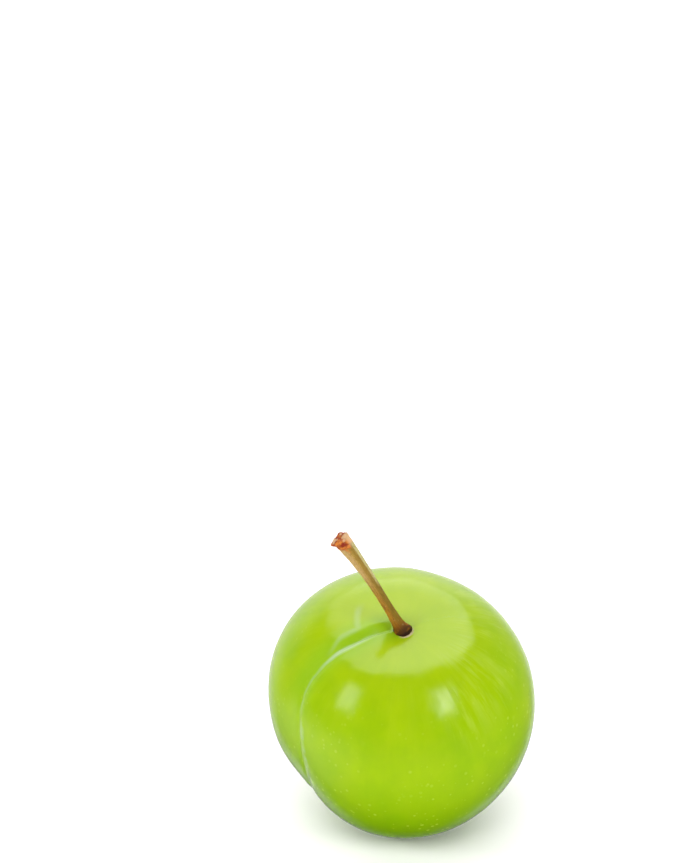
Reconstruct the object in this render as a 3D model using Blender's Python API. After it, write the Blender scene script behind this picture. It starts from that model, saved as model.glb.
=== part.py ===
# A green plum with its stem, as picked, resting on a small flat spot.
# Metres, +Z up. The origin is on the surface it rests on, under the middle of the plum's box.
# The stem end leans towards -Y, and the suture runs down the side that faces -X and -Y.

import math

import bmesh
import bpy
from mathutils import Matrix, Vector

MM = 0.001

# Body of the fruit: a ball, slightly oval and slightly three-sided round its own axis
FRUIT_RADIUS = 19.0 * MM
AXIS_LEAN = math.radians(27.0)
OVAL = 0.029
OVAL_AZIMUTH = math.radians(-56.0)
THREE_SIDED = 0.016
THREE_SIDED_AZIMUTH = math.radians(24.0)

# Stem cavity: a wide bowl with a narrow pit in its floor; spreads are angles from the fruit's axis
BOWL_DEPTH = 1.2 * MM
BOWL_SPREAD = 0.42
PIT_DEPTH = 1.0 * MM
PIT_SPREAD = 0.16

# Blossom end, opposite the stem
BLOSSOM_DEPTH = 0.5 * MM
BLOSSOM_SPREAD = 0.17

# Suture: a shallow valley from pole to pole, one cheek a little higher, with a fine crease in it
SUTURE_AZIMUTH = math.radians(-159.5)
SUTURE_SWINGS = [math.radians(swing) for swing in (11.2, -4.4, -6.4, 2.8)]
VALLEY_DEPTH = 0.71 * MM
VALLEY_WIDTH = 6.2 * MM
VALLEY_FADE = 0.5
CHEEK_LIFT = 0.53 * MM
CHEEK_WIDTH = 5.6 * MM
CHEEK_REACH = 2.3
CREASE_DEPTH = 0.15 * MM
CREASE_WIDTH = 0.8 * MM
CREASE_START = 0.7

# Cleft beside the suture near the stem, steep on the higher cheek's side
CLEFT_DEPTH = 0.6 * MM
CLEFT_STEEP = 0.8 * MM
CLEFT_END = 3.0 * MM
CLEFT_START = 0.2
CLEFT_REACH = 0.75
CLEFT_FADE = 0.375

# Flat spot that the fruit rests on
FLAT_DEPTH = 0.38 * MM

# Stem: an arc in an upright plane, thinnest at its middle, with a flared foot and a thick broken end
STEM_LENGTH = 19.75 * MM
STEM_AZIMUTH = math.radians(-151.0)
STEM_FOOT_LEAN = math.radians(28.0)
STEM_TIP_LEAN = math.radians(36.0)
STEM_RADIUS = 0.68 * MM
FOOT_RADIUS = 1.25 * MM
FOOT_FLARE = 1.25 * MM
TIP_RADIUS = 1.3 * MM
TIP_SWELL_START = 6.0 * MM
TIP_SWELL_POWER = 1.9
TIP_ROUNDING = 1.0 * MM
TIP_FACE = 0.55

# Socket in the pit's floor, and the gap between it and the foot
SOCKET_DEPTH = 2.0 * MM
FOOT_GAP = 0.3 * MM

# How finely the two pieces are faceted
FRUIT_SIDES = 72
FRUIT_ROWS = 54
SIDES_DRAWN_TO_SUTURE = 0.75
ROWS_DRAWN_TO_STEM = 0.3
STEM_SIDES = 16
STEM_CUTS = 31
SOCKET_SIDES = 24

SKIN_COLOUR = (0.40, 0.63, 0.012, 1.0)
SKIN_ROUGHNESS = 0.25
STEM_COLOUR = (0.40, 0.22, 0.065, 1.0)
STEM_ROUGHNESS = 0.65


def smooth_step(x):
    x = min(max(x, 0.0), 1.0)
    return x * x * (3.0 - 2.0 * x)


def bump(distance, width):
    return math.exp(-(distance / width) ** 2)


def suture_azimuth(theta):
    """Azimuth of the suture at an angle theta from the fruit's stem pole."""
    waves = (swing * math.sin(count * theta) for count, swing in enumerate(SUTURE_SWINGS, start=1))
    return SUTURE_AZIMUTH + sum(waves)


def suture_relief(theta, from_suture):
    """Valley, higher cheek, crease and cleft, at an azimuth from the suture."""
    across = FRUIT_RADIUS * math.sin(theta) * from_suture
    from_ends = smooth_step(theta / VALLEY_FADE) * smooth_step((math.pi - theta) / VALLEY_FADE)
    crease = CREASE_DEPTH * bump(across, CREASE_WIDTH) * smooth_step(theta / CREASE_START)
    cut = VALLEY_DEPTH * bump(across, VALLEY_WIDTH) + crease
    lift = CHEEK_LIFT * across / CHEEK_WIDTH * bump(across, CHEEK_WIDTH) * bump(theta, CHEEK_REACH)
    beyond = smooth_step(-across / CLEFT_STEEP) * smooth_step(1.0 + across / CLEFT_END)
    near_stem = smooth_step(theta / CLEFT_START) * smooth_step((CLEFT_REACH - theta) / CLEFT_FADE)
    return from_ends * (lift - cut) - CLEFT_DEPTH * beyond * near_stem


def fruit_point(theta, from_suture):
    """A point of the skin in the fruit's own frame, whose +Z is its axis towards the stem."""
    azimuth = suture_azimuth(theta) + from_suture
    belly = math.sin(theta)
    oval = OVAL * math.cos(2.0 * (azimuth - OVAL_AZIMUTH)) * belly ** 2
    three_sided = THREE_SIDED * math.cos(3.0 * (azimuth - THREE_SIDED_AZIMUTH)) * belly ** 3
    reach = FRUIT_RADIUS * (1.0 + oval + three_sided)
    reach += suture_relief(theta, from_suture)
    reach -= BOWL_DEPTH * bump(theta, BOWL_SPREAD) + PIT_DEPTH * bump(theta, PIT_SPREAD)
    reach -= BLOSSOM_DEPTH * bump(math.pi - theta, BLOSSOM_SPREAD)
    outward = Vector((belly * math.cos(azimuth), belly * math.sin(azimuth), math.cos(theta)))
    return reach * outward


def add_object(name, bm, collection):
    mesh = bpy.data.meshes.new(name)
    bm.to_mesh(mesh)
    bm.free()
    mesh.shade_smooth()
    piece = bpy.data.objects.new(name, mesh)
    collection.objects.link(piece)
    return piece


def make_fruit(collection):
    """A ball whose rows and sides crowd towards the stem and the suture, moved onto the skin."""
    bm = bmesh.new()
    bmesh.ops.create_uvsphere(bm, u_segments=FRUIT_SIDES, v_segments=FRUIT_ROWS, radius=1.0)
    lean = Matrix.Rotation(AXIS_LEAN, 3, 'X')
    for vert in bm.verts:
        row = math.acos(min(max(vert.co.z, -1.0), 1.0))
        side = math.atan2(vert.co.y, vert.co.x)
        theta = row - ROWS_DRAWN_TO_STEM * math.sin(row)
        from_suture = side - SIDES_DRAWN_TO_SUTURE * math.sin(side)
        vert.co = lean @ fruit_point(theta, from_suture)
    flatten_underside(bm)
    return add_object("fruit", bm, collection)


def flatten_underside(bm):
    """Cuts the lowest sliver off level, which leaves the small flat spot."""
    lowest = min(vert.co.z for vert in bm.verts)
    everything = bm.verts[:] + bm.edges[:] + bm.faces[:]
    level = Vector((0.0, 0.0, lowest + FLAT_DEPTH))
    bmesh.ops.bisect_plane(bm, geom=everything, plane_co=level, plane_no=(0.0, 0.0, 1.0), clear_inner=True)
    rim = [edge for edge in bm.edges if edge.is_boundary]
    bmesh.ops.holes_fill(bm, edges=rim)
    bmesh.ops.recalc_face_normals(bm, faces=bm.faces[:])


def pit_floor():
    return Matrix.Rotation(AXIS_LEAN, 3, 'X') @ fruit_point(0.0, 0.0)


def stem_direction(along):
    """Direction of the stem's middle line at a distance along it from the pit's floor."""
    share = max(along, 0.0) / STEM_LENGTH
    lean = STEM_FOOT_LEAN + (STEM_TIP_LEAN - STEM_FOOT_LEAN) * share ** 2
    flat = Vector((math.cos(STEM_AZIMUTH), math.sin(STEM_AZIMUTH), 0.0))
    return math.sin(lean) * flat + Vector((0.0, 0.0, math.cos(lean)))


def stem_radius(along):
    foot = (FOOT_RADIUS - STEM_RADIUS) * math.exp(-max(along, 0.0) / FOOT_FLARE)
    swell = max(along - TIP_SWELL_START, 0.0) / (STEM_LENGTH - TIP_SWELL_START)
    tip = (TIP_RADIUS - STEM_RADIUS) * swell ** TIP_SWELL_POWER
    into_end = max(along - (STEM_LENGTH - TIP_ROUNDING), 0.0) / TIP_ROUNDING
    rounding = 1.0 - (1.0 - TIP_FACE) * into_end ** 2
    return (STEM_RADIUS + foot + tip) * rounding


def stem_rings():
    """Middle, direction and radius of each ring, from the sunk end to the broken end."""
    sunk = SOCKET_DEPTH - FOOT_GAP
    step = (STEM_LENGTH + sunk) / (STEM_CUTS + 1)
    middle = pit_floor() - sunk * stem_direction(0.0)
    rings = []
    for index in range(STEM_CUTS + 2):
        along = index * step - sunk
        rings.append((middle.copy(), stem_direction(along), stem_radius(along)))
        middle += step * stem_direction(along + step / 2.0)
    return rings


def make_stem(collection):
    """A cylinder cut into rings, each ring moved to its place on the stem's middle line."""
    bm = bmesh.new()
    bmesh.ops.create_cone(bm, cap_ends=True, segments=STEM_SIDES, radius1=1.0, radius2=1.0, depth=1.0)
    lengthwise = [edge for edge in bm.edges if abs(edge.verts[0].co.z - edge.verts[1].co.z) > 0.5]
    bmesh.ops.subdivide_edges(bm, edges=lengthwise, cuts=STEM_CUTS, use_grid_fill=False)
    sideways = Vector((-math.sin(STEM_AZIMUTH), math.cos(STEM_AZIMUTH), 0.0))
    rings = stem_rings()
    for vert in bm.verts:
        middle, direction, radius = rings[round((vert.co.z + 0.5) * (STEM_CUTS + 1))]
        forward = sideways.cross(direction)
        vert.co = middle + radius * (vert.co.x * forward + vert.co.y * sideways)
    bmesh.ops.recalc_face_normals(bm, faces=bm.faces[:])
    return add_object("stem", bm, collection)


def make_socket_cutter(collection):
    """A cylinder in line with the stem's foot, from the socket's floor to above the pit."""
    radius = FOOT_RADIUS + FOOT_GAP
    depth = 2.0 * SOCKET_DEPTH
    bm = bmesh.new()
    bmesh.ops.create_cone(bm, cap_ends=True, segments=SOCKET_SIDES, radius1=radius, radius2=radius, depth=depth)
    turn = stem_direction(0.0).to_track_quat('Z', 'Y').to_matrix().to_4x4()
    bmesh.ops.transform(bm, matrix=Matrix.Translation(pit_floor()) @ turn, verts=bm.verts[:])
    cutter = add_object("socket_cutter", bm, collection)
    cutter.hide_render = True
    cutter.display_type = 'WIRE'
    return cutter


def cut_socket(fruit, cutter):
    cut = fruit.modifiers.new("socket", 'BOOLEAN')
    cut.operation = 'DIFFERENCE'
    cut.object = cutter


def paint(piece, name, colour, roughness):
    material = bpy.data.materials.new(name)
    material.use_nodes = True
    shader = material.node_tree.nodes["Principled BSDF"]
    shader.inputs["Base Color"].default_value = colour
    shader.inputs["Roughness"].default_value = roughness
    shader.inputs["Metallic"].default_value = 0.0
    piece.data.materials.append(material)


def stand_at_origin(fruit, followers):
    """Moves everything so that the flat spot is at z = 0 and the box's middle is over the origin."""
    corners = [vert.co for vert in fruit.data.vertices]
    middle = [(min(c[axis] for c in corners) + max(c[axis] for c in corners)) / 2.0 for axis in (0, 1)]
    floor = min(c.z for c in corners)
    for piece in [fruit] + followers:
        piece.location = Vector((-middle[0], -middle[1], -floor))


def clear_scene():
    for thing in list(bpy.data.objects):
        bpy.data.objects.remove(thing, do_unlink=True)


def new_collection(name):
    collection = bpy.data.collections.new(name)
    bpy.context.scene.collection.children.link(collection)
    return collection


def main():
    clear_scene()
    plum = new_collection("green_plum")
    cutters = new_collection("cutters")
    fruit = make_fruit(plum)
    stem = make_stem(plum)
    cutter = make_socket_cutter(cutters)
    cut_socket(fruit, cutter)
    paint(fruit, "plum_skin", SKIN_COLOUR, SKIN_ROUGHNESS)
    paint(stem, "stem_bark", STEM_COLOUR, STEM_ROUGHNESS)
    stand_at_origin(fruit, [stem, cutter])


main()
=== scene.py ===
# %% [markdown]
# A green plum in soft light
#
# This script dresses a plain model of one green plum and its stem. The plain model is loaded as a
# fixed frame: it says where the fruit and the stem are and how large they are, and nothing here
# moves or resizes them. Everything is in metres, +Z is up, and the plum stands on z = 0.

# %% Load the frame
import math
import random

import bmesh
import bpy
import numpy as np
from mathutils import Matrix, Vector, noise


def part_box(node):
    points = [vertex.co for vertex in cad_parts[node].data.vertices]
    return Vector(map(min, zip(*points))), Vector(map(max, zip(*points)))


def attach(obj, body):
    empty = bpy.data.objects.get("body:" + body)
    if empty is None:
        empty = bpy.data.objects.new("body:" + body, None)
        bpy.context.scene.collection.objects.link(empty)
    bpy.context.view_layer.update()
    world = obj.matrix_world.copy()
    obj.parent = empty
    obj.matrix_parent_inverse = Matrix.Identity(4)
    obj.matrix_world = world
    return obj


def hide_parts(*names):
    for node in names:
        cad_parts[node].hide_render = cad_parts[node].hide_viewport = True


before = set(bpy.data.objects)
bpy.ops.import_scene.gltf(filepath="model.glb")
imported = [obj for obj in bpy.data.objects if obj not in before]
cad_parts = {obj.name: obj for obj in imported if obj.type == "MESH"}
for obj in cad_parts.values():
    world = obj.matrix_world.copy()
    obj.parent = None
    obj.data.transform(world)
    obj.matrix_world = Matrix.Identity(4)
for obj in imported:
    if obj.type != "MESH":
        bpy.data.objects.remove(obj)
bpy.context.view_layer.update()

MM = 0.001
fruit_low, fruit_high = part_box("fruit")
stem_low, stem_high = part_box("stem")
print("fruit box in mm:", [round(size / MM, 1) for size in fruit_high - fruit_low])
print("stem box in mm:", [round(size / MM, 1) for size in stem_high - stem_low])

# %% [markdown]
# The camera
#
# A product picture of small fruit is taken from far off with a long lens, so that near and far
# parts keep the same size. The camera could be aimed straight at the plum, but in the picture that
# this one follows the plum lies low and to the right of the middle. So the camera is aimed at the
# picture's middle, and the plum falls where it should: no lens shift is needed. One driving
# value, the picture's scale, turns places in the picture into millimetres beside the plum.

# %% Camera
PICTURE_SIZE = (679, 863)
PICTURE_SCALE = 7.08 / MM
PLUM_IN_PICTURE = (401.2, 701.7)
CAMERA_ELEVATION = math.radians(25.0)
CAMERA_DISTANCE = 1.25
SENSOR_SIZE = 36.0

view_back = Vector((0.0, -math.cos(CAMERA_ELEVATION), math.sin(CAMERA_ELEVATION)))
view_right = Vector((1.0, 0.0, 0.0))
view_up = view_back.cross(view_right)


def from_picture(x, y, middle):
    """The point beside the plum's middle that shows at a place in the picture."""
    right = (x - PLUM_IN_PICTURE[0]) / PICTURE_SCALE
    up = (PLUM_IN_PICTURE[1] - y) / PICTURE_SCALE
    return middle + right * view_right + up * view_up


def add_camera(middle):
    data = bpy.data.cameras.new("camera")
    data.sensor_width = SENSOR_SIZE
    data.lens = SENSOR_SIZE * CAMERA_DISTANCE * PICTURE_SCALE / PICTURE_SIZE[1]
    camera = bpy.data.objects.new("camera", data)
    bpy.context.scene.collection.objects.link(camera)
    aim = from_picture(PICTURE_SIZE[0] / 2, PICTURE_SIZE[1] / 2, middle)
    camera.location = aim + CAMERA_DISTANCE * view_back
    camera.rotation_euler = (-view_back).to_track_quat('-Z', 'Y').to_euler()
    bpy.context.scene.camera = camera
    print("lens in mm:", round(data.lens, 1))


# %% [markdown]
# The body of the fruit
#
# A plum is a ball that is slightly oval and slightly three-sided, dented at the stem, with a
# shallow valley from pole to pole: the suture, where the fruit's one folded leaf closed. A
# sculpted mesh could do, or a cage with subdivision, but a formula in angles says each of these
# things with one or two numbers, and the same formula gave the plain model. An angle theta counts
# from the stem's end and another goes round from the suture.

# %% Shape of the skin
FRUIT_RADIUS = 19.0 * MM
AXIS_LEAN = math.radians(27.0)
OVAL = 0.029
OVAL_AZIMUTH = math.radians(-56.0)
THREE_SIDED = 0.016
THREE_SIDED_AZIMUTH = math.radians(24.0)
BOWL_DEPTH = 1.2 * MM
BOWL_SPREAD = 0.42
PIT_DEPTH = 1.0 * MM
PIT_SPREAD = 0.16
BLOSSOM_DEPTH = 0.5 * MM
BLOSSOM_SPREAD = 0.17
SUTURE_AZIMUTH = math.radians(-159.5)
SUTURE_SWINGS = [math.radians(swing) for swing in (11.2, -4.4, -6.4, 2.8)]
VALLEY_DEPTH = 0.71 * MM
VALLEY_WIDTH = 6.2 * MM
VALLEY_FADE = 0.5
CHEEK_LIFT = 0.53 * MM
CHEEK_WIDTH = 5.6 * MM
CHEEK_REACH = 2.3
CREASE_DEPTH = 0.15 * MM
CREASE_WIDTH = 0.8 * MM
CREASE_START = 0.7
CLEFT_DEPTH = 0.6 * MM
CLEFT_STEEP = 0.8 * MM
CLEFT_END = 3.0 * MM
CLEFT_START = 0.2
CLEFT_REACH = 0.75
CLEFT_FADE = 0.375
FLAT_DEPTH = 0.38 * MM

to_world_lean = np.array(Matrix.Rotation(AXIS_LEAN, 3, 'X'))


def smooth_step(x):
    x = np.clip(x, 0.0, 1.0)
    return x * x * (3.0 - 2.0 * x)


def bump(distance, width):
    return np.exp(-(distance / width) ** 2)


def suture_azimuth(theta):
    swings = [swing * np.sin(count * theta) for count, swing in enumerate(SUTURE_SWINGS, start=1)]
    return SUTURE_AZIMUTH + sum(swings)


def suture_relief(theta, across):
    from_ends = smooth_step(theta / VALLEY_FADE) * smooth_step((math.pi - theta) / VALLEY_FADE)
    crease = CREASE_DEPTH * bump(across, CREASE_WIDTH) * smooth_step(theta / CREASE_START)
    cut = VALLEY_DEPTH * bump(across, VALLEY_WIDTH) + crease
    lift = CHEEK_LIFT * across / CHEEK_WIDTH * bump(across, CHEEK_WIDTH) * bump(theta, CHEEK_REACH)
    beyond = smooth_step(-across / CLEFT_STEEP) * smooth_step(1.0 + across / CLEFT_END)
    near_stem = smooth_step(theta / CLEFT_START) * smooth_step((CLEFT_REACH - theta) / CLEFT_FADE)
    return from_ends * (lift - cut) - CLEFT_DEPTH * beyond * near_stem


def outward(theta, azimuth):
    """Unit directions from the fruit's middle, in the world's axes, one row per point."""
    belly = np.sin(theta)
    own = np.stack([belly * np.cos(azimuth), belly * np.sin(azimuth), np.cos(theta)], axis=-1)
    return own @ to_world_lean.T


def skin_reach(theta, azimuth, across):
    """Distance from the fruit's middle to its skin."""
    belly = np.sin(theta)
    oval = OVAL * np.cos(2.0 * (azimuth - OVAL_AZIMUTH)) * belly ** 2
    three_sided = THREE_SIDED * np.cos(3.0 * (azimuth - THREE_SIDED_AZIMUTH)) * belly ** 3
    reach = FRUIT_RADIUS * (1.0 + oval + three_sided) + suture_relief(theta, across)
    reach = reach - BOWL_DEPTH * bump(theta, BOWL_SPREAD) - PIT_DEPTH * bump(theta, PIT_SPREAD)
    return reach - BLOSSOM_DEPTH * bump(math.pi - theta, BLOSSOM_SPREAD)


# %% [markdown]
# A ball of points for the skin
#
# The skin starts as a UV sphere. Its rows are drawn towards both poles and its sides towards the
# suture, because the socket, the blossom end and the crease need small faces and the cheeks
# don't. The points' angles are kept: the materials use them later to draw streaks that run from
# pole to pole, which no plain 3D texture could follow.

# %% Sphere with crowded rows and sides
SKIN_SIDES = 360
SKIN_ROWS = 240
ROW_CROWDING = 0.35
SIDE_CROWDING = 0.75


def sphere_mesh(name, sides, rows):
    bm = bmesh.new()
    bmesh.ops.create_uvsphere(bm, u_segments=sides, v_segments=rows, radius=1.0)
    mesh = bpy.data.meshes.new(name)
    bm.to_mesh(mesh)
    bm.free()
    mesh.shade_smooth()
    return mesh


def points_of(mesh):
    flat = np.empty(len(mesh.vertices) * 3)
    mesh.vertices.foreach_get("co", flat)
    return flat.reshape(-1, 3)


def move_points(mesh, points):
    mesh.vertices.foreach_set("co", np.ascontiguousarray(points, dtype=np.float32).ravel())
    mesh.update()


def sphere_angles(mesh):
    """Angle from the top and angle round of each point of a UV sphere."""
    points = points_of(mesh)
    return np.arccos(np.clip(points[:, 2], -1.0, 1.0)), np.arctan2(points[:, 1], points[:, 0])


def keep_values(mesh, name, values):
    mesh.attributes.new(name, 'FLOAT', 'POINT').data.foreach_set("value", values.astype(np.float32))


def keep_vectors(mesh, name, vectors):
    flat = np.ascontiguousarray(vectors, dtype=np.float32).ravel()
    mesh.attributes.new(name, 'FLOAT_VECTOR', 'POINT').data.foreach_set("vector", flat)


skin_mesh = sphere_mesh("plum_skin", SKIN_SIDES, SKIN_ROWS)
row, side = sphere_angles(skin_mesh)
theta = row - ROW_CROWDING * np.sin(2.0 * row)
from_suture = side - SIDE_CROWDING * np.sin(side)
azimuth = suture_azimuth(theta) + from_suture
across = FRUIT_RADIUS * np.sin(theta) * from_suture
smallest_step = FRUIT_RADIUS * theta[theta > 0].min()
print("skin points:", len(theta), "smallest row step in mm:", round(smallest_step / MM, 3))

# %% [markdown]
# Where the fruit stands
#
# The formula's fruit has its middle at zero, while the frame's fruit rests on the floor. Both come
# from the same numbers, so matching the two boxes finds the middle exactly: no place has to be
# copied by hand, and the skin follows if the plain model is ever shifted.

# %% Middle of the fruit and floor of its pit
smooth_skin = skin_reach(theta, azimuth, across)[:, None] * outward(theta, azimuth)
own_middle = (smooth_skin.min(axis=0) + smooth_skin.max(axis=0)) / 2.0
fruit_middle = np.array((fruit_low + fruit_high) / 2.0) - own_middle
fruit_middle[2] = fruit_low[2] - smooth_skin[:, 2].min() - FLAT_DEPTH
pole = np.zeros(1)
pit_floor = Vector(fruit_middle + skin_reach(pole, pole, pole)[0] * outward(pole, pole)[0])
print("fruit's middle in mm:", np.round(fruit_middle / MM, 2))
print("pit's floor in mm:", np.round(np.array(pit_floor) / MM, 2))
add_camera(Vector(fruit_middle))

# %% [markdown]
# The stem's middle line
#
# The stem is an arc in an upright plane. It leaves the pit a little steeper than it ends, so its
# direction is worked out at each distance from the pit, and the line is the sum of small steps.
# A curve object with handles would give a like line, but the skin's socket has to follow the same
# direction, and a function can be asked for it anywhere.

# %% Middle line
STEM_LENGTH = 19.75 * MM
STEM_AZIMUTH = math.radians(-151.0)
STEM_FOOT_LEAN = math.radians(28.0)
STEM_TIP_LEAN = math.radians(36.0)
SOCKET_DEPTH = 2.0 * MM
FOOT_GAP = 0.3 * MM
LINE_STEPS = 400
LINE_REACH = 1.05

stem_sideways = np.array((-math.sin(STEM_AZIMUTH), math.cos(STEM_AZIMUTH), 0.0))


def stem_direction(along):
    """Unit directions of the stem at distances along it from the pit's floor."""
    share = np.maximum(along, 0.0) / STEM_LENGTH
    lean = STEM_FOOT_LEAN + (STEM_TIP_LEAN - STEM_FOOT_LEAN) * share ** 2
    level = np.sin(lean)
    return np.stack([level * math.cos(STEM_AZIMUTH), level * math.sin(STEM_AZIMUTH), np.cos(lean)], axis=-1)


line_along = np.linspace(FOOT_GAP - SOCKET_DEPTH, STEM_LENGTH * LINE_REACH, LINE_STEPS)
line_steps = stem_direction((line_along[1:] + line_along[:-1]) / 2.0) * np.diff(line_along)[:, None]
foot_direction = stem_direction(np.zeros(1))[0]
line_start = np.array(pit_floor) + line_along[0] * foot_direction
line_points = line_start + np.vstack([np.zeros(3), np.cumsum(line_steps, axis=0)])
print("stem's tip in mm:", np.round(line_points[-1] / MM, 2))


def stem_middle(along):
    return np.stack([np.interp(along, line_along, line_points[:, axis]) for axis in range(3)], axis=-1)


# %% [markdown]
# Fine relief of the skin
#
# No plum is as smooth as its formula. Broad, very low swellings bend the reflections, and they are
# what tells the eye that a highlight lies on grown skin and not on glass. They are added as
# smooth noise, a few hundredths of a millimetre high, because a bump map would not move the
# outline. The socket is a real hole in the pit's floor: the points near the stem's foot are
# pushed down along the stem's own direction, so the hole leans as the stem does.

# %% Socket, swellings and blossom point
SWELLING_HEIGHT = 0.07 * MM
SWELLING_SIZE = 7.0 * MM
PEEL_HEIGHT = 0.025 * MM
PEEL_SIZE = 1.9 * MM
HOLE_RADIUS = 0.99 * MM
HOLE_LIP = 0.14 * MM
HOLE_SHIFT = 0.12 * MM
LIP_HEIGHT = 0.08 * MM
LIP_WIDTH = 0.25 * MM
SCAR_HEIGHT = 0.14 * MM
SCAR_WIDTH = 0.03
NEAR_STEM = 1.0


def noise_at(points, size, octaves=1):
    """Smooth noise from -1 to 1 at each point, with features of the given size."""
    if octaves == 1:
        return np.array([noise.noise(Vector(point) / size) for point in points])
    return np.array([noise.fractal(Vector(point) / size, 1.0, 2.0, octaves) for point in points])


def distance_from_foot(points):
    """Distance of each point from the hole's middle line, which runs beside the stem's foot."""
    offset = points - np.array(pit_floor) - HOLE_SHIFT * np.array(view_right)
    along = offset @ foot_direction
    return np.linalg.norm(offset - along[:, None] * foot_direction, axis=1)


relief = SWELLING_HEIGHT * noise_at(smooth_skin, SWELLING_SIZE)
relief += PEEL_HEIGHT * noise_at(smooth_skin, PEEL_SIZE)
relief += SCAR_HEIGHT * bump(math.pi - theta, SCAR_WIDTH)
skin_points = fruit_middle + smooth_skin + relief[:, None] * outward(theta, azimuth)
from_foot = np.where(theta < NEAR_STEM, distance_from_foot(skin_points), FRUIT_RADIUS)
lip = LIP_HEIGHT * bump(from_foot - HOLE_RADIUS - HOLE_LIP, LIP_WIDTH)
sinking = SOCKET_DEPTH * smooth_step((HOLE_RADIUS + HOLE_LIP - from_foot) / HOLE_LIP)
skin_points += (lip - sinking)[:, None] * foot_direction
skin_points[:, 2] = np.maximum(skin_points[:, 2], 0.0)
move_points(skin_mesh, skin_points)
print("swellings in mm:", round(np.ptp(relief) / MM, 3), "points in the socket:", int((sinking > 0).sum()))

# %% What the skin's materials will read
FIBRE_STRETCH = 0.2

keep_values(skin_mesh, "from_stem", theta)
keep_values(skin_mesh, "from_foot_mm", from_foot / MM)
keep_values(skin_mesh, "from_suture_mm", across / MM)
fibre_lines = np.stack([np.cos(azimuth), np.sin(azimuth), FIBRE_STRETCH * theta], axis=-1)
keep_vectors(skin_mesh, "fibre_lines", fibre_lines)


def add_piece(mesh, body="root"):
    piece = bpy.data.objects.new(mesh.name, mesh)
    bpy.context.scene.collection.objects.link(piece)
    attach(piece, body)
    return piece


skin = add_piece(skin_mesh)
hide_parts("fruit")
print("skin faces:", len(skin_mesh.polygons))

# %% [markdown]
# The stem
#
# A plum's stalk is thinnest below its middle, swells into a knob where it broke from the twig, and
# spreads into a foot in the fruit. A bevelled curve would be round all along. Here a UV sphere is
# drawn out along the middle line instead: its poles become the two ends, and each point's
# distance from the line can carry ridges, bark grain, pores and the torn rim of the broken end.

# %% Thickness of the stem
STEM_SIDES = 96
STEM_ROWS = 320
STEM_RADIUS = 0.68 * MM
FOOT_RADIUS = 1.25 * MM
FOOT_FLARE = 1.25 * MM
TIP_RADIUS = 1.3 * MM
TIP_SWELL_START = 6.0 * MM
TIP_SWELL_POWER = 1.9
TIP_ROUNDING = 1.0 * MM
TIP_FULLNESS = 0.8
TIP_SHARE = 0.12
FOOT_SHARE = 0.03
TIP_HOLLOW = 0.45 * MM


def stem_radius(along):
    foot = (FOOT_RADIUS - STEM_RADIUS) * np.exp(-np.maximum(along, 0.0) / FOOT_FLARE)
    swell = np.maximum(along - TIP_SWELL_START, 0.0) / (STEM_LENGTH - TIP_SWELL_START)
    return STEM_RADIUS + foot + (TIP_RADIUS - STEM_RADIUS) * swell ** TIP_SWELL_POWER


def stem_rows(share):
    """Distance along the stem and share of its radius, for rows from the broken end to the foot."""
    shoulder = STEM_LENGTH - TIP_ROUNDING
    sunk = FOOT_GAP - SOCKET_DEPTH
    over_tip = np.clip(share / TIP_SHARE, 0.0, 1.0) * math.pi / 2.0
    under_foot = np.clip((1.0 - share) / FOOT_SHARE, 0.0, 1.0) * math.pi / 2.0
    between = np.clip((share - TIP_SHARE) / (1.0 - TIP_SHARE - FOOT_SHARE), 0.0, 1.0)
    along = shoulder + (sunk - shoulder) * between + TIP_ROUNDING * np.cos(over_tip)
    wide = np.sin(over_tip) ** TIP_FULLNESS * np.sin(under_foot)
    hollow = TIP_HOLLOW * np.cos(over_tip) ** 2 * (1.0 - wide ** 2)
    return along - hollow, wide


stem_mesh = sphere_mesh("plum_stem", STEM_SIDES, STEM_ROWS)
row, around = sphere_angles(stem_mesh)
along, wide = stem_rows(row / math.pi)
print("stem points:", len(along), "from", round(along.min() / MM, 2), "to", round(along.max() / MM, 2))

# %% Ridges, bark and the broken end
PORE_COUNT = 26
PORE_REACH = (2.0, 18.0)
random.seed(7)
PORES = [(random.uniform(*PORE_REACH), random.uniform(-math.pi, math.pi)) for _ in range(PORE_COUNT)]
PORE_LENGTH = 0.34 * MM
PORE_WIDTH = 0.22
PORE_HEIGHT = 0.05 * MM
GRAIN_HEIGHT = 0.035 * MM
KNOB_ROUGHNESS = 0.16 * MM
KNOB_REACH = 1.6 * MM
SPUR_AROUND = math.radians(-30.0)
SPUR_WIDTH = 0.34
SPUR_HEIGHT = 0.6 * MM
SPUR_PLACE = 0.75 * MM
SPUR_LENGTH = 0.36 * MM
LOBE_AROUND = math.radians(135.0)
LOBE_WIDTH = 0.5
LOBE_HEIGHT = 0.35 * MM
LOBE_LENGTH = 0.7 * MM
BROAD_RIDGES = 0.035
FINE_RIDGES = 0.02
FOOT_RIDGES = 0.05
RIDGE_TWIST = 9.0 * MM
FOOT_RIDGE_REACH = 1.2 * MM
GRAIN_STRETCH = 7.0 * MM
GRAIN_SIZE = 0.22
LUMP_STRETCH = 1.2 * MM
LUMP_SIZE = 0.45
TIP_UNEVENNESS = 0.8
# The lit side of the stem, painted paler, and the olive side, partly painted shade
LIT_SIDE_AROUND = math.radians(10.0)
OLIVE_AROUND = math.radians(145.0)


def wrapped(angle):
    return (angle + math.pi) % (2.0 * math.pi) - math.pi


def ridges(along, around):
    """Share by which low lengthwise ridges widen the stem."""
    turn = along / RIDGE_TWIST
    foot = np.exp(-np.maximum(along, 0.0) / FOOT_RIDGE_REACH)
    broad = BROAD_RIDGES * np.sin(3.0 * around + turn)
    fine = FINE_RIDGES * np.sin(7.0 * around - 1.4 * turn)
    return broad + fine + FOOT_RIDGES * foot * np.sin(5.0 * around + 0.8)


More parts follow.
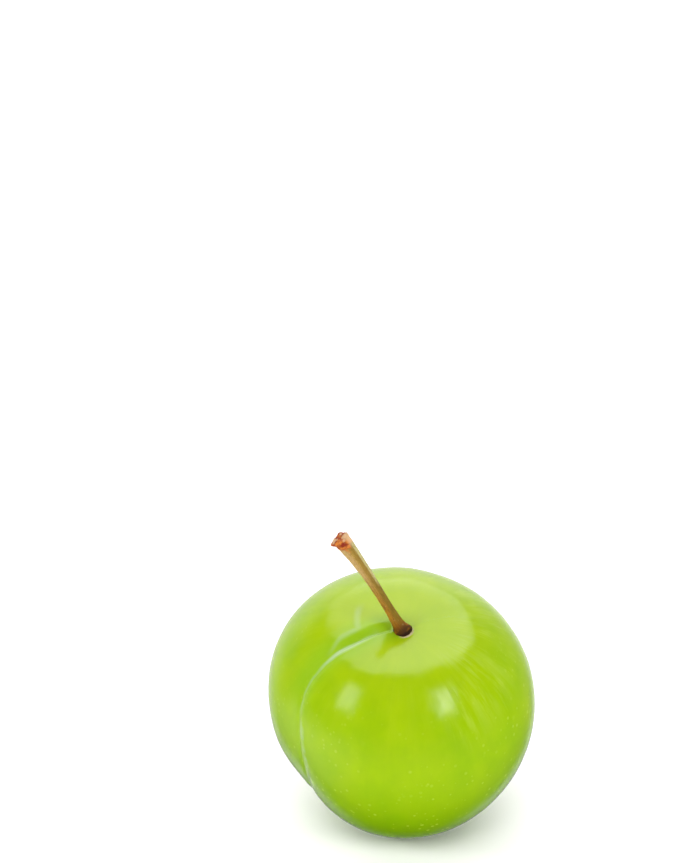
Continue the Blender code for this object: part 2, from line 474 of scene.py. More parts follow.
def pores(along, around):
    height = np.zeros_like(along)
    for at, angle in PORES:
        pore = bump(along - at * MM, PORE_LENGTH) * bump(wrapped(around - angle), PORE_WIDTH)
        height += PORE_HEIGHT * pore
    return height


near_tip = np.exp(-np.maximum(STEM_LENGTH - along, 0.0) / KNOB_REACH)
grain_points = np.stack([np.cos(around), np.sin(around), along / GRAIN_STRETCH], axis=-1)
lump_points = np.stack([np.cos(around) * wide, np.sin(around) * wide, along / LUMP_STRETCH], axis=-1)
thickness = stem_radius(along) * (1.0 + ridges(along, around))
thickness += GRAIN_HEIGHT * noise_at(grain_points, GRAIN_SIZE, octaves=3) + pores(along, around)
lumps = KNOB_ROUGHNESS * near_tip * noise_at(lump_points, LUMP_SIZE, octaves=3)
spur = SPUR_HEIGHT * bump(wrapped(around - SPUR_AROUND), SPUR_WIDTH)
spur *= bump(along - (STEM_LENGTH - SPUR_PLACE), SPUR_LENGTH)
lobe = LOBE_HEIGHT * bump(wrapped(around - LOBE_AROUND), LOBE_WIDTH)
lobe *= bump(along - LOBE_LENGTH / 2.0, LOBE_LENGTH)
thickness = (thickness + lumps + spur + lobe) * wide
along = along + lumps * TIP_UNEVENNESS
direction = stem_direction(along)
forward = np.cross(stem_sideways, direction)
swing = np.cos(around)[:, None] * forward + np.sin(around)[:, None] * stem_sideways
stem_points = stem_middle(along) + thickness[:, None] * swing
move_points(stem_mesh, stem_points)
keep_values(stem_mesh, "along_mm", along / MM)
keep_vectors(stem_mesh, "fibre_lines", grain_points)
# Which side of the stem faces the light and which the shade, for the bark's painted light and shade
keep_values(stem_mesh, "lit_side", np.cos(around - LIT_SIDE_AROUND))
keep_values(stem_mesh, "olive_side", np.cos(around - OLIVE_AROUND))

stem = add_piece(stem_mesh)
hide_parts("stem")
print("stem faces:", len(stem_mesh.polygons))

# %% [markdown]
# Small tools for materials
#
# Materials are made of nodes, and making each node by hand takes three or four lines. One helper
# adds a node and sets or links its inputs, and a few short ones name the nodes used most. With
# them a material reads as a list of what it is made of.

# %% Node helpers
def set_inputs(tree, node, inputs):
    """Sets a node's inputs, given by name or number, or links them to another node's output."""
    for key, value in inputs.items():
        if isinstance(value, bpy.types.NodeSocket):
            tree.links.new(value, node.inputs[key])
        else:
            node.inputs[key].default_value = value


def add_node(tree, kind, inputs=None, **settings):
    """Adds a node and sets its properties, then its inputs."""
    node = tree.nodes.new(kind)
    for name, value in settings.items():
        setattr(node, name, value)
    set_inputs(tree, node, inputs or {})
    return node


def calculate(tree, operation, first, second=0.0):
    return add_node(tree, "ShaderNodeMath", {0: first, 1: second}, operation=operation).outputs[0]


def times(tree, first, *others):
    """The product of two or more values."""
    for other in others:
        first = calculate(tree, 'MULTIPLY', first, other)
    return first


def plus(tree, first, second):
    return calculate(tree, 'ADD', first, second)


def larger(tree, first, second):
    return calculate(tree, 'MAXIMUM', first, second)


def apart(tree, value, middle):
    """How far a value is from a middle value, on either side."""
    return calculate(tree, 'ABSOLUTE', calculate(tree, 'SUBTRACT', value, middle))


def remap(tree, value, low, high, to_low=0.0, to_high=1.0):
    """A smooth step from one value to another."""
    inputs = {"Value": value, "From Min": low, "From Max": high, "To Min": to_low, "To Max": to_high}
    return add_node(tree, "ShaderNodeMapRange", inputs, interpolation_type='SMOOTHSTEP').outputs[0]


def mix_colours(tree, share, first, second):
    return add_node(tree, "ShaderNodeMix", {0: share, 6: first, 7: second}, data_type='RGBA').outputs[2]


def read_value(tree, name):
    return add_node(tree, "ShaderNodeAttribute", attribute_name=name).outputs["Fac"]


def read_vector(tree, name):
    return add_node(tree, "ShaderNodeAttribute", attribute_name=name).outputs["Vector"]


def object_point(tree):
    return add_node(tree, "ShaderNodeTexCoord").outputs["Object"]


def colour(red, green, blue):
    """A colour given as a screen shows it, from 0 to 255, in the linear values that nodes use."""
    def linear(value):
        value = value / 255.0
        return value / 12.92 if value <= 0.04045 else ((value + 0.055) / 1.055) ** 2.4
    return (linear(red), linear(green), linear(blue), 1.0)


# %% [markdown]
# Three effects that several finishes share
#
# Skin, bark and cork all have soft patches, lines that run lengthwise, and small round specks. Each
# effect is a node group, built once and placed in each material with its own numbers. A group
# only puts out masks, from 0 to 1: the shader itself stays in the material.

# %% Group builder and the patches group
def new_group(name, inputs):
    """A node group with one output, Mask, and its inner tree's input node."""
    group = bpy.data.node_groups.new(name, 'ShaderNodeTree')
    group.interface.new_socket("Mask", in_out='OUTPUT', socket_type='NodeSocketFloat')
    for label, kind in inputs.items():
        group.interface.new_socket(label, in_out='INPUT', socket_type='NodeSocket' + kind)
    return group, group.nodes.new("NodeGroupInput").outputs


def finish_group(group, mask):
    group.links.new(mask, group.nodes.new("NodeGroupOutput").inputs["Mask"])
    return group


def build_patches():
    """Soft uneven patches: noise, with the values between Low and High spread out."""
    inputs = {"Vector": 'Vector', "Scale": 'Float', "Low": 'Float', "High": 'Float'}
    group, given = new_group("patches", inputs)
    inner = {"Vector": given["Vector"], "Scale": given["Scale"], "Detail": 3.0}
    cloud = add_node(group, "ShaderNodeTexNoise", inner)
    return finish_group(group, remap(group, cloud.outputs[0], given["Low"], given["High"]))


# %% Fibres group
def build_fibres():
    """Lines along a surface: fine noise on a vector that changes slowly lengthwise."""
    inputs = {"Lines": 'Vector', "Count": 'Float', "Low": 'Float', "High": 'Float'}
    group, given = new_group("fibres", inputs)
    inner = {"Vector": given["Lines"], "Scale": given["Count"], "Detail": 4.0, "Roughness": 0.6}
    lines = add_node(group, "ShaderNodeTexNoise", inner)
    return finish_group(group, remap(group, lines.outputs[0], given["Low"], given["High"]))


# %% Specks group
def build_specks():
    """Round specks, one in each cell of a Voronoi texture, in only a share of the cells."""
    inputs = {"Vector": 'Vector', "Scale": 'Float', "Size": 'Float', "Share": 'Float'}
    group, given = new_group("specks", inputs)
    cells = add_node(group, "ShaderNodeTexVoronoi", {"Vector": given["Vector"], "Scale": given["Scale"]})
    chance = add_node(group, "ShaderNodeSeparateColor", {0: cells.outputs["Color"]})
    edge = larger(group, times(group, given["Size"], chance.outputs[1]), 0.001)
    dot = calculate(group, 'DIVIDE', cells.outputs["Distance"], edge)
    shown = calculate(group, 'LESS_THAN', chance.outputs[0], given["Share"])
    return finish_group(group, times(group, remap(group, dot, 1.0, 0.4), shown))


groups = {group.name: group for group in (build_patches(), build_fibres(), build_specks())}
print("groups:", {name: len(group.nodes) for name, group in groups.items()})


def use_group(tree, name, inputs):
    node = add_node(tree, "ShaderNodeGroup", node_tree=groups[name])
    set_inputs(tree, node, inputs)
    return node.outputs["Mask"]


def patches(tree, scale, low, high):
    inputs = {"Vector": object_point(tree), "Scale": scale, "Low": low, "High": high}
    return use_group(tree, "patches", inputs)


def fibres(tree, count, low, high):
    inputs = {"Lines": read_vector(tree, "fibre_lines"), "Count": count, "Low": low, "High": high}
    return use_group(tree, "fibres", inputs)


def specks(tree, scale, size, share):
    inputs = {"Vector": object_point(tree), "Scale": scale, "Size": size, "Share": share}
    return use_group(tree, "specks", inputs)


def new_material(name):
    material = bpy.data.materials.new(name)
    material.use_nodes = True
    return material, material.node_tree, material.node_tree.nodes["Principled BSDF"]


# %% [markdown]
# The skin's finish
#
# A green plum's skin is a thin waxy film over wet flesh. Light goes a few millimetres in and comes
# out again, which is the shader's subsurface part, and the film gives small sharp highlights. The
# colour is not even: mottled all over and yellower towards the stem, with pale specks low down and
# pale streaks that run from pole to pole on one shoulder, where the skin is finely wrinkled too.
# Painted shade makes it a cooler green in the valley near the stem, a deeper green underneath and
# dark brown down in the socket. A pale line follows the suture, partly its wax and partly a painted
# highlight on the crest, and a fainter pale line on the far bank of the cleft is a painted
# reflection. A little cork rims the socket. Each of these is a mask laid over the green in turn. A
# painted picture would be quicker, but it would stretch at the poles and show its pixels close up.

# %% Skin colours
GREEN = colour(152, 195, 1)
YELLOW_GREEN = colour(186, 210, 3)
# Painted shade: a deeper green for the underside, over the floor's shadow
UNDERSIDE_SHADE_GREEN = colour(118, 162, 0)
# Painted shade: a cooler green for the valley near the stem, where the cleft lies in shade
VALLEY_SHADE_GREEN = colour(146, 200, 36)
PALE_SPECK = colour(204, 226, 80)
STREAK = colour(196, 222, 80)
MOTTLE = colour(190, 217, 8)
# Pale wax of the suture, also laid as the painted highlight on its crest and the painted reflection on the
# far bank
PALE_WAX_AND_SHEEN = colour(196, 222, 168)
CORK = colour(226, 200, 140)
# Painted shade: dark brown down in the socket round the stem's foot
SOCKET_SHADE_BROWN = colour(58, 30, 8)
SCAR_BROWN = colour(120, 88, 40)
CORK_SIDE = (math.cos(math.radians(-45.0)), math.sin(math.radians(-45.0)), 0.0)
HOLE_EDGE = (HOLE_RADIUS + HOLE_LIP) / MM
STREAK_SIDE = (math.cos(math.radians(-8.0)), math.sin(math.radians(-8.0)), 0.0)


def along_direction(tree, direction):
    """Cosine of the angle round the fruit's axis from a direction."""
    inputs = {0: read_vector(tree, "fibre_lines"), 1: direction}
    return add_node(tree, "ShaderNodeVectorMath", inputs, operation='DOT_PRODUCT').outputs["Value"]


# %% Ground colour of the skin
# A pair of angles from the stem, or of millimetres across the suture, is where a tint or a painted
# shade is absent and where it is full.
SUNNY_ANGLES = (1.1, 0.3)
SUNNY_SHARE = 0.45
PATCHY_SHARE = 0.25
MOTTLE_SHARE = 0.16
VALLEY_ANGLES = (1.5, 0.6)
VALLEY_MIDDLE = -1.0
VALLEY_SIDES = (4.5, 0.5)
VALLEY_SHADE_SHARE = 0.6
UNDERSIDE_SHADE_ANGLES = (1.15, 2.0)
UNDERSIDE_SHADE_SHARE = 0.95


def skin_base(tree):
    """Green, yellower towards the stem and mottled, with painted shade: a cooler green in the valley and a
    deeper green underneath.
    """
    from_stem = read_value(tree, "from_stem")
    sunny = times(tree, remap(tree, from_stem, *SUNNY_ANGLES), SUNNY_SHARE)
    yellow = plus(tree, times(tree, patches(tree, 90.0, 0.35, 0.65), PATCHY_SHARE), sunny)
    base = mix_colours(tree, yellow, GREEN, YELLOW_GREEN)
    mottle = plus(tree, fibres(tree, 5.0, 0.35, 0.65), patches(tree, 300.0, 0.35, 0.65))
    base = mix_colours(tree, times(tree, mottle, MOTTLE_SHARE), base, MOTTLE)
    # Painted shade: the valley near the stem turns a cooler green
    beside = apart(tree, read_value(tree, "from_suture_mm"), VALLEY_MIDDLE)
    valley = times(tree, remap(tree, beside, *VALLEY_SIDES), remap(tree, from_stem, *VALLEY_ANGLES))
    base = mix_colours(tree, times(tree, valley, VALLEY_SHADE_SHARE), base, VALLEY_SHADE_GREEN)
    # Painted shade: the skin turns deeper green towards the bottom pole
    under = times(tree, remap(tree, from_stem, *UNDERSIDE_SHADE_ANGLES), UNDERSIDE_SHADE_SHARE)
    return mix_colours(tree, under, base, UNDERSIDE_SHADE_GREEN)


# %% Specks, streaks and wrinkles
FINE_SPECKS = 0.55
BROAD_SPECKS = 0.25
SPECK_ANGLES = (0.6, 1.2)
SPECK_SHARES = (0.1, 0.8)
STREAK_SIDE_RANGE = (0.4, 0.85)
STREAK_SIDE_LEAST = 0.12
STREAK_SHARE = 0.85


def speck_mask(tree):
    """Pale specks, more of them low down, the fine ones in clusters."""
    fine = times(tree, specks(tree, 1250.0, 0.46, 0.6), patches(tree, 150.0, 0.36, 0.58), FINE_SPECKS)
    broad = times(tree, specks(tree, 330.0, 0.3, 0.3), BROAD_SPECKS)
    low = remap(tree, read_value(tree, "from_stem"), *SPECK_ANGLES, *SPECK_SHARES)
    return times(tree, larger(tree, broad, fine), low)


def streak_mask(tree):
    """Soft pale streaks from pole to pole, strongest on one shoulder."""
    from_stem = read_value(tree, "from_stem")
    fine = times(tree, fibres(tree, 20.0, 0.47, 0.7), 0.7)
    wide = times(tree, fibres(tree, 7.0, 0.48, 0.66), 0.5)
    side = remap(tree, along_direction(tree, STREAK_SIDE), *STREAK_SIDE_RANGE, STREAK_SIDE_LEAST, 1.0)
    reach = times(tree, remap(tree, from_stem, 0.3, 0.55), remap(tree, from_stem, 1.2, 0.75))
    streaks = times(tree, larger(tree, fine, wide), patches(tree, 120.0, 0.34, 0.54), reach)
    return times(tree, streaks, side, STREAK_SHARE)


def wrinkle_height(tree):
    """Fine wrinkles down the streaked shoulder."""
    from_stem = read_value(tree, "from_stem")
    side = remap(tree, along_direction(tree, STREAK_SIDE), *STREAK_SIDE_RANGE)
    reach = times(tree, remap(tree, from_stem, 0.35, 0.6), remap(tree, from_stem, 1.15, 0.8))
    return times(tree, fibres(tree, 13.0, 0.3, 0.7), side, reach)


# %% Line of the suture, partly wax and partly painted highlight
LINE_MIDDLES = (-0.3, 0.1)
LINE_WIDTHS = (0.46, 0.2)
LINE_WEAR = 0.15
LOW_LINE_MIDDLE = 1.1
LOW_LINE_SIDES = (1.1, 0.2)
LOW_LINE_SHARE = 0.45


def suture_mask(tree):
    """A pale line along the crease, partly wax and partly a painted highlight on the crest: fine and bright
    near the stem, broad and faint lower down.
    """
    across = read_value(tree, "from_suture_mm")
    from_stem = read_value(tree, "from_stem")
    gap = apart(tree, across, remap(tree, from_stem, 0.5, 0.8, *LINE_MIDDLES))
    wear = fibres(tree, 16.0, 0.3, 0.6)
    width = plus(tree, times(tree, wear, LINE_WEAR), remap(tree, from_stem, 0.45, 0.8, *LINE_WIDTHS))
    fine = remap(tree, calculate(tree, 'DIVIDE', gap, width), 1.35, 0.15)
    faded = times(tree, remap(tree, from_stem, 0.55, 0.8, 0.95, 0.36), remap(tree, from_stem, 1.25, 0.95))
    fine = times(tree, fine, remap(tree, from_stem, 0.1, 0.4), faded)
    fine = times(tree, fine, plus(tree, times(tree, wear, 0.45), 0.55))
    low = times(tree, remap(tree, from_stem, 1.1, 1.3), remap(tree, from_stem, 2.3, 1.7))
    broad = remap(tree, apart(tree, across, LOW_LINE_MIDDLE), *LOW_LINE_SIDES)
    broad = times(tree, broad, low, patches(tree, 260.0, 0.45, 0.6), LOW_LINE_SHARE)
    return larger(tree, fine, broad)


# %% Painted reflection on the far bank, and cork
BANK_MIDDLES = (2.6, 1.2)
BANK_WIDTH = 0.75
RING_ANGLE = 0.315
RING_WIDTH = 0.04
RING_SLANT = 0.0133
BANK_SHARE = 0.34


def far_bank_reflection_mask(tree):
    """A painted reflection: a faint pale line on the cleft's far bank, which turns off round the bowl."""
    across = read_value(tree, "from_suture_mm")
    from_stem = read_value(tree, "from_stem")
    middle = remap(tree, from_stem, 0.48, 0.64, *BANK_MIDDLES)
    beside = calculate(tree, 'ABSOLUTE', plus(tree, across, middle))
    bank = times(tree, remap(tree, beside, BANK_WIDTH, 0.0), remap(tree, from_stem, 0.3, 0.38))
    bank = times(tree, bank, remap(tree, from_stem, 0.68, 0.5))
    slanted = plus(tree, from_stem, times(tree, across, RING_SLANT))
    ring = remap(tree, apart(tree, slanted, RING_ANGLE), RING_WIDTH, 0.0)
    ring = times(tree, ring, remap(tree, across, -2.0, -2.8), remap(tree, across, -8.0, -5.5))
    return times(tree, larger(tree, bank, ring), BANK_SHARE)


def cork_mask(tree):
    """A rim of cork round the socket, on the side away from the suture only."""
    side = remap(tree, along_direction(tree, CORK_SIDE), 0.35, 0.9)
    lip = remap(tree, read_value(tree, "from_foot_mm"), HOLE_EDGE + 0.5, HOLE_EDGE + 0.2)
    return times(tree, lip, side)


# %% Skin material
SKIN_ROUGHNESS = 0.135
SKIN_ROUGHNESS_SPREAD = 0.06
SCAR_ANGLES = (3.06, 3.11)


def skin_colour(tree):
    """The ground colour with each mark laid over it in turn."""
    # Painted shade inside the socket, where the skin sinks round the stem's foot
    hole = remap(tree, read_value(tree, "from_foot_mm"), HOLE_EDGE + 0.12, HOLE_EDGE)
    scar = remap(tree, read_value(tree, "from_stem"), *SCAR_ANGLES)
    base = mix_colours(tree, speck_mask(tree), skin_base(tree), PALE_SPECK)
    base = mix_colours(tree, streak_mask(tree), base, STREAK)
    # Painted reflection: the faint pale line on the cleft's far bank
    base = mix_colours(tree, far_bank_reflection_mask(tree), base, PALE_WAX_AND_SHEEN)
    # The suture's line: partly pale wax, partly a painted highlight on the crest
    base = mix_colours(tree, suture_mask(tree), base, PALE_WAX_AND_SHEEN)
    base = mix_colours(tree, cork_mask(tree), base, CORK)
    base = mix_colours(tree, hole, base, SOCKET_SHADE_BROWN)
    return mix_colours(tree, scar, base, SCAR_BROWN)


def make_skin_material():
    material, tree, shader = new_material("plum_skin")
    tree.links.new(skin_colour(tree), shader.inputs["Base Color"])
    pitted = patches(tree, 900.0, 0.3, 0.7)
    roughness = plus(tree, times(tree, pitted, SKIN_ROUGHNESS_SPREAD), SKIN_ROUGHNESS)
    tree.links.new(roughness, shader.inputs["Roughness"])
    peel = {"Height": pitted, "Strength": 0.08, "Distance": 0.02 * MM}
    peel = add_node(tree, "ShaderNodeBump", peel).outputs[0]
    wrinkles = {"Height": wrinkle_height(tree), "Strength": 0.25, "Distance": 0.07 * MM, "Normal": peel}
    wrinkles = add_node(tree, "ShaderNodeBump", wrinkles).outputs[0]
    tree.links.new(wrinkles, shader.inputs["Normal"])
    shader.inputs["IOR"].default_value = 1.45
    shader.inputs["Subsurface Weight"].default_value = 0.35
    shader.inputs["Subsurface Radius"].default_value = (1.0, 0.9, 0.15)
    shader.inputs["Subsurface Scale"].default_value = 2.5 * MM
    print("nodes in the skin's material:", len(tree.nodes))
    return material


skin.data.materials.append(make_skin_material())

# %% [markdown]
# The stem's bark
#
# The stalk is thin brown bark over green wood. It is pale and warm on one side and olive on the
# other, partly the bark's own tint and partly painted light on the lit side and painted shade on
# the other. A pale strip down the upper half is a painted highlight. The bark is darker brown at
# the foot, with dark patches that are partly painted shade, nearly black in painted shade where it
# enters the fruit, and red, orange and tan on the broken end, where cork has dried. The changes
# along the stem are smooth steps on the kept distance in millimetres, and the lengthwise grain
# comes from the fibres group.

# %% Bark colours
BARK_TAN = colour(188, 150, 66)
# Pale bark of the lit side, partly its own tint and partly painted light
BARK_PALE_LIT_SIDE = colour(210, 176, 118)
# Olive bark of the other side, partly its own tint and partly painted shade
BARK_OLIVE_AND_SHADE = colour(132, 112, 28)
# Painted highlight: the pale strip down the upper half of the stem
BARK_LIT_STRIP = colour(214, 206, 140)
BARK_GRAIN = colour(122, 78, 14)
BARK_FOOT = colour(184, 126, 18)
BARK_BASE = colour(150, 88, 4)
# Nearly black brown: dark bark, and painted shade where the stem enters the fruit
BARK_DARK_AND_SHADE = colour(50, 18, 8)
KNOB_RED = colour(150, 42, 14)
KNOB_ORANGE = colour(222, 134, 48)
KNOB_TAN = colour(232, 196, 146)
PORE_PALE = colour(224, 196, 150)
KNOB_EDGE = (17.6, 18.7)
BARK_ROUGHNESS = 0.42
BARK_ROUGHNESS_SPREAD = 0.2


# %% Ground colour of the bark
def bark_base(tree, along):
    """Tan and brown towards the foot, paler on the lit side and olive on the other, partly the bark's tint
    and partly painted light and painted shade, with a painted highlight strip.
    """
    olive_side = read_value(tree, "olive_side")
    sunny = remap(tree, read_value(tree, "lit_side"), 0.35, 0.95)
    olive = remap(tree, olive_side, 0.15, 0.65)
    # Painted highlight: a pale strip on the olive side's upper half
    lit_strip = times(tree, remap(tree, along, 8.5, 11.0), remap(tree, olive_side, 0.78, 0.9))
    grain = times(tree, fibres(tree, 7.0, 0.42, 0.66), remap(tree, along, 13.0, 7.0, 0.45, 0.95))
    base = mix_colours(tree, remap(tree, along, 11.0, 4.0, 0.0, 0.8), BARK_TAN, BARK_FOOT)
    base = mix_colours(tree, grain, base, BARK_GRAIN)
    # Partly painted light: paler towards the lit side
    base = mix_colours(tree, times(tree, sunny, remap(tree, along, 8.0, 14.0, 0.0, 0.8)), base, BARK_PALE_LIT_SIDE)
    # Partly painted shade: olive on the other side
    base = mix_colours(tree, times(tree, olive, remap(tree, along, 13.0, 7.0, 0.4, 0.75)), base, BARK_OLIVE_AND_SHADE)
    base = mix_colours(tree, times(tree, lit_strip, 0.85), base, BARK_LIT_STRIP)
    return mix_colours(tree, remap(tree, along, 3.2, 1.0, 0.0, 0.75), base, BARK_BASE)


def foot_colour(tree, along, base):
    """Fine dark grain all along, dark patches on the foot that are partly dark bark and partly painted
    shade, and painted shade nearly black inside the fruit.
    """
    base = mix_colours(tree, times(tree, fibres(tree, 15.0, 0.46, 0.64), 0.5), base, BARK_GRAIN)
    # Dark patches towards the foot, partly dark bark and partly painted shade of the socket
    dark = times(tree, patches(tree, 1000.0, 0.42, 0.56), remap(tree, along, 1.9, 0.6, 0.0, 0.75))
    base = mix_colours(tree, dark, base, BARK_DARK_AND_SHADE)
    # Painted shade: nearly black inside the socket
    return mix_colours(tree, remap(tree, along, 0.45, 0.1), base, BARK_DARK_AND_SHADE)


# %% Colour of the broken end
def knob_colour(tree, along, base):
    """Red and orange cork with tan spots on the broken end."""
    orange = patches(tree, 850.0, 0.42, 0.62)
    olive = remap(tree, read_value(tree, "olive_side"), 0.6, 0.95)
    tan = larger(tree, patches(tree, 1200.0, 0.5, 0.68), olive)
    knob = mix_colours(tree, orange, KNOB_RED, KNOB_ORANGE)
    knob = mix_colours(tree, times(tree, tan, 0.8), knob, KNOB_TAN)
    uneven = plus(tree, along, times(tree, orange, 0.9))
    return mix_colours(tree, remap(tree, uneven, *KNOB_EDGE), base, knob)


# %% Bark material
def make_bark_material():
    material, tree, shader = new_material("stem_bark")
    along = read_value(tree, "along_mm")
    base = knob_colour(tree, along, foot_colour(tree, along, bark_base(tree, along)))
    dots = times(tree, specks(tree, 1700.0, 0.35, 0.25), 0.22)
    tree.links.new(mix_colours(tree, dots, base, PORE_PALE), shader.inputs["Base Color"])
    grain = fibres(tree, 12.0, 0.3, 0.7)
    roughness = plus(tree, times(tree, grain, BARK_ROUGHNESS_SPREAD), BARK_ROUGHNESS)
    tree.links.new(roughness, shader.inputs["Roughness"])
    relief = add_node(tree, "ShaderNodeBump", {"Height": grain, "Strength": 0.5, "Distance": 0.05 * MM})
    tree.links.new(relief.outputs[0], shader.inputs["Normal"])
    shader.inputs["Specular IOR Level"].default_value = 0.25
    shader.inputs["Subsurface Weight"].default_value = 0.1
    shader.inputs["Subsurface Radius"].default_value = (1.0, 0.6, 0.2)
    shader.inputs["Subsurface Scale"].default_value = 0.4 * MM
    print("nodes in the bark's material:", len(tree.nodes))
    return material


stem.data.materials.append(make_bark_material())

# %% [markdown]
# Floor and light
#
# The plum lies on a plain white surface in a light tent. Two small soft boxes in front, right and
# left, make the two squarish highlights. Each is brightest in its middle, as cloth over a lamp is,
# so the highlights have soft edges. The tent's own light comes from the world. Light linking keeps
# the two jobs apart: the soft boxes reach the plum only, and four plain boxes in front, left,
# right and above reach the floor only. They let the white surface burn out to pure white, as in a
# product picture, and set how wide and how dark the shadow is, while the skin isn't lit any harder.

# %% Floor
FLOOR_SIZE = 6.0
FLOOR_WHITE = (0.95, 0.93, 0.95, 1.0)
FLOOR_BOUNCE = (0.82, 0.82, 0.82, 1.0)


def add_floor():
    bpy.ops.mesh.primitive_plane_add(size=FLOOR_SIZE)
    floor = bpy.context.object
    floor.name = "floor"
    material, tree, shader = new_material("white_surface")
    seen = add_node(tree, "ShaderNodeLightPath").outputs["Is Camera Ray"]
    tree.links.new(mix_colours(tree, seen, FLOOR_BOUNCE, FLOOR_WHITE), shader.inputs["Base Color"])
    shader.inputs["Roughness"].default_value = 0.9
    shader.inputs["Specular IOR Level"].default_value = 0.1
    floor.data.materials.append(material)
    floor.visible_glossy = False
    return floor


floor = add_floor()
print("floor size in m:", round(floor.dimensions.x, 1))

# %% Soft boxes
def add_softbox(name, azimuth_deg, elevation_deg, distance, width, height, radiance):
    """A rectangle of light that faces the plum. Azimuth 0 is the camera's side, positive to its right."""
    azimuth_rad, elevation_rad = math.radians(azimuth_deg), math.radians(elevation_deg)
    level = math.cos(elevation_rad)
    way = Vector((level * math.sin(azimuth_rad), -level * math.cos(azimuth_rad), math.sin(elevation_rad)))
    data = bpy.data.lights.new(name, 'AREA')
    data.shape = 'RECTANGLE'
    data.size, data.size_y = width, height
    data.energy = radiance * math.pi * width * height
    light = bpy.data.objects.new(name, data)
    bpy.context.scene.collection.objects.link(light)
    light.location = Vector(fruit_middle) + distance * way
    light.rotation_euler = way.to_track_quat('Z', 'Y').to_euler()
    return light


EDGE_SHARE = 0.34
SOFTBOX_CORE = 1.25


def soften_edges(light):
    """Makes a soft box brightest in its middle and dim towards its edges, as cloth over a lamp is."""
    light.data.use_nodes = True
    tree = light.data.node_tree
    place = add_node(tree, "ShaderNodeNewGeometry").outputs["Parametric"]
    place = add_node(tree, "ShaderNodeSeparateXYZ", {0: place})
    strength = SOFTBOX_CORE
    for side in ("X", "Y"):
        from_middle = apart(tree, place.outputs[side], 0.5)
        strength = times(tree, remap(tree, from_middle, 0.5, 0.5 - EDGE_SHARE), strength)
    tree.links.new(strength, tree.nodes["Emission"].inputs["Strength"])


def light_only(lights, name, pieces):
    """Lets lights reach some pieces and pass all the others by."""
    reached = bpy.data.collections.new(name)
    for piece in pieces:
        reached.objects.link(piece)
    for light in lights:
        light.light_linking.receiver_collection = reached


# Azimuth and elevation in degrees, distance, width and height in metres, and radiance
plum_lights = [
    add_softbox("softbox_right", 40.5, 28.0, 0.6, 0.24, 0.36, 5.4),
    add_softbox("softbox_left", -60.5, 24.5, 0.6, 0.27, 0.39, 3.1),
]
for light in plum_lights:
    soften_edges(light)
floor_lights = [
    add_softbox("front_floor", -4.0, 44.0, 1.0, 0.5, 0.4, 6.4),
    add_softbox("left_floor", -85.0, 14.0, 1.0, 0.5, 0.4, 13.6),
    add_softbox("right_floor", 58.0, 18.0, 1.0, 0.5, 0.4, 9.4),
    add_softbox("ceiling_floor", 0.0, 90.0, 1.0, 2.4, 2.4, 0.2),
]
light_only(plum_lights, "lit_by_the_soft_boxes", [skin, stem])
light_only(floor_lights, "lit_by_the_floor_lights", [floor])
print("lights on the plum:", len(plum_lights), "and on the floor:", len(floor_lights))

# %% [markdown]
# The room
#
# The room lights the plum in one way and shows in its skin in another. What lights it is soft and
# even, a little brighter behind. What it mirrors is a panel overhead, with uneven edges, a pale
# back, and dark in front, so that the front of the skin mirrors little and keeps its full green.
# The Light Path node tells the two apart, and the camera itself sees plain white. Real panels
# would need a box of a dozen lamps and cards round the plum, and this is one small node tree.

# %% World
WORLD_FRONT = 0.56
WORLD_BACK = 1.6
PANEL_AXIS = (0.0, 0.36, 1.0)
PANEL_EDGE = (0.715, 0.81)
PANEL_RADIANCE = 2.8
PANEL_WAVES = 3.0
PANEL_WAVE_SIZE = 0.22
BACK_RADIANCE = 0.9
LOW_RADIANCE = 0.12
LEFT_RADIANCE = 0.6


def soft_room(tree, way):
    """What lights the plum: a white tent, a little brighter behind, darker on both sides."""
    left = remap(tree, way.outputs["X"], -0.9, -0.2, 0.62, 1.0)
    right = remap(tree, way.outputs["X"], 0.2, 0.9, 1.0, 0.5)
    depth = remap(tree, way.outputs["Y"], -0.6, 0.6, WORLD_FRONT, WORLD_BACK)
    return times(tree, depth, left, right)


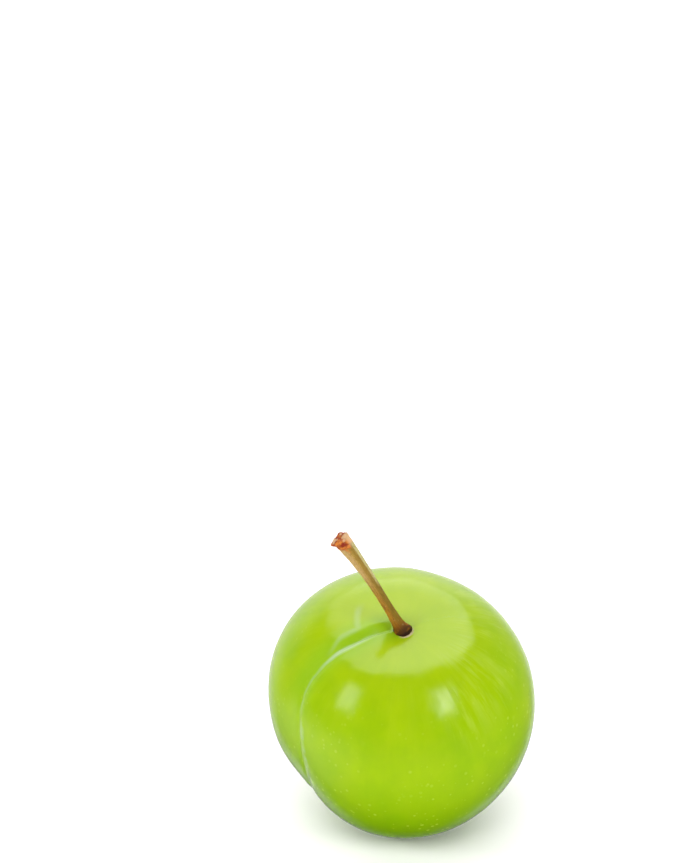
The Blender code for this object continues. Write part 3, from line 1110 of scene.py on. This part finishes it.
def overhead_panel(tree, vector, way):
    """A round panel overhead with uneven edges, dimmer on the left and towards the back."""
    toward = add_node(tree, "ShaderNodeVectorMath", {0: vector, 1: PANEL_AXIS}, operation='DOT_PRODUCT')
    waves = add_node(tree, "ShaderNodeTexNoise", {"Vector": vector, "Scale": PANEL_WAVES, "Detail": 2.0})
    waves = times(tree, calculate(tree, 'SUBTRACT', waves.outputs[0], 0.5), PANEL_WAVE_SIZE)
    panel = remap(tree, plus(tree, toward.outputs["Value"], waves), *PANEL_EDGE, 0.0, PANEL_RADIANCE)
    left = remap(tree, way.outputs["X"], -0.65, -0.15, 0.74, 1.0)
    return times(tree, panel, left, remap(tree, way.outputs["Y"], -0.1, 0.6, 1.18, 0.84))


def pale_back(tree, way):
    """The tent's back, which shows along the top and the rims, darker right, left and low down."""
    x, z = way.outputs["X"], way.outputs["Z"]
    back = remap(tree, way.outputs["Y"], 0.2, 0.9, 0.0, BACK_RADIANCE)
    aside = remap(tree, calculate(tree, 'ABSOLUTE', x), 0.1, 0.35)
    low = larger(tree, remap(tree, z, -0.62, -0.4, 0.3, 1.0), aside)
    back = times(tree, back, remap(tree, z, -0.1, 0.45, 1.0, 1.45), low)
    return times(tree, back, remap(tree, x, 0.25, 0.6, 1.0, 0.3), remap(tree, x, -0.6, 0.2, 0.85, 1.0))


def mirrored_room(tree, vector, way):
    """What the skin mirrors: the panel, the pale back, a dim floor, and dark in front."""
    left = times(tree, way.outputs["X"], -1.0)
    floor_light = plus(tree, remap(tree, left, 0.5, 0.95, 0.0, LEFT_RADIANCE), LOW_RADIANCE)
    floor_light = times(tree, floor_light, remap(tree, way.outputs["Z"], -0.14, -0.4))
    away = larger(tree, pale_back(tree, way), floor_light)
    away = times(tree, away, remap(tree, way.outputs["Z"], -0.97, -0.7))
    return larger(tree, overhead_panel(tree, vector, way), away)


def light_the_room():
    world = bpy.data.worlds.new("studio")
    bpy.context.scene.world = world
    world.use_nodes = True
    tree = world.node_tree
    vector = add_node(tree, "ShaderNodeTexCoord").outputs["Generated"]
    way = add_node(tree, "ShaderNodeSeparateXYZ", {0: vector})
    path = add_node(tree, "ShaderNodeLightPath")
    soft, mirrored = soft_room(tree, way), mirrored_room(tree, vector, way)
    choice = {0: path.outputs["Is Glossy Ray"], 2: soft, 3: mirrored}
    room = add_node(tree, "ShaderNodeMix", choice, data_type='FLOAT').outputs[0]
    background = tree.nodes["Background"]
    background.inputs["Color"].default_value = (1.0, 1.0, 1.0, 1.0)
    strength = larger(tree, room, path.outputs["Is Camera Ray"])
    tree.links.new(strength, background.inputs["Strength"])
    print("nodes in the world:", len(tree.nodes))


light_the_room()
bpy.context.scene.view_settings.view_transform = 'Standard'
